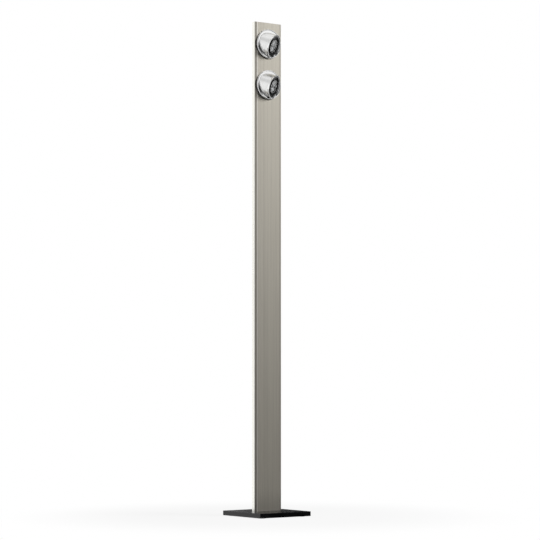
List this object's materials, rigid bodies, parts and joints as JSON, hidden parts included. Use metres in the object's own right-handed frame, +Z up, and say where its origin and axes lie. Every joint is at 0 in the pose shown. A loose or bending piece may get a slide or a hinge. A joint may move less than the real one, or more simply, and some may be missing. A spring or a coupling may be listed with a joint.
{
  "type": "floor lamp",
  "caption": "Slender floor lamp: square base plate, tall flat brushed upright and, near its top, slanted spot heads that turn on round rosettes.",
  "frame": {"origin": "middle of the underside of the foot pads, on the floor", "axes": "+Z up along the upright, -Y out of the brushed front face that carries the heads, +X to the right as seen from the front"},
  "size_m": [0.227, 0.227, 1.8],
  "materials": {
    "black_plate": "gloss",
    "rubber_pads": "matte",
    "steel_fasteners": "satin",
    "brushed_front": "brushed along its length",
    "bright_channel": "satin",
    "plain_aluminium": "satin",
    "driver_case": "matte",
    "terminal_plastic": "matte",
    "cable_jacket": "matte",
    "gland_plastic": "matte",
    "polished_ring": "polished",
    "washer_plastic": "matte",
    "satin_housing": "satin",
    "black_sink": "matte",
    "led_face": "gloss",
    "mirror_reflector": "polished",
    "lens_glass": "clear",
    "black_baffle": "gloss"
  },
  "bodies": {
    "stand": {"base_plate": "black_plate", "foot_pads": "rubber_pads", "base_screws": "steel_fasteners", "front_panel": "brushed_front", "rear_channel": "bright_channel", "foot_block": "plain_aluminium", "foot_screws": "steel_fasteners", "cap_screws": "steel_fasteners", "cover_screws": "steel_fasteners", "top_cap": "bright_channel", "service_cover": "bright_channel", "led_driver": "driver_case", "driver_straps": "steel_fasteners", "strap_screws": "steel_fasteners", "terminal_block": "terminal_plastic", "driver_wires": "cable_jacket", "cable_gland": "gland_plastic", "gland_nut": "gland_plastic", "lower_cable": "cable_jacket", "upper_cable": "cable_jacket", "cable_clips": "terminal_plastic", "upper_rosette": "polished_ring", "upper_stop_pin": "steel_fasteners", "upper_rosette_nut": "plain_aluminium", "upper_slide_washer": "washer_plastic", "upper_spring_washer": "steel_fasteners", "lower_rosette": "polished_ring", "lower_stop_pin": "steel_fasteners", "lower_rosette_nut": "plain_aluminium", "lower_slide_washer": "washer_plastic", "lower_spring_washer": "steel_fasteners"},
    "upper_head": {"upper_turntable": "plain_aluminium", "upper_pivot_nut": "plain_aluminium", "upper_table_screws": "steel_fasteners", "upper_housing": "satin_housing", "upper_heat_sink": "black_sink", "upper_led_module": "led_face", "upper_reflector": "mirror_reflector", "upper_lens": "lens_glass", "upper_lens_ring": "black_baffle", "upper_baffle": "black_baffle", "upper_bezel": "black_baffle", "upper_lead": "cable_jacket"},
    "lower_head": {"lower_turntable": "plain_aluminium", "lower_pivot_nut": "plain_aluminium", "lower_table_screws": "steel_fasteners", "lower_housing": "satin_housing", "lower_heat_sink": "black_sink", "lower_led_module": "led_face", "lower_reflector": "mirror_reflector", "lower_lens": "lens_glass", "lower_lens_ring": "black_baffle", "lower_baffle": "black_baffle", "lower_bezel": "black_baffle", "lower_lead": "cable_jacket"}
  },
  "joints": [
    {"name": "upper_head_turn", "type": "hinge", "parent": "stand", "child": "upper_head", "pos_m": [0, -0.0085, 1.722], "axis": [0, -1, 0], "range_deg": [-222, 117]},
    {"name": "lower_head_turn", "type": "hinge", "parent": "stand", "child": "lower_head", "pos_m": [0, -0.0085, 1.572], "axis": [0, -1, 0], "range_deg": [-227, 112]}
  ]
}
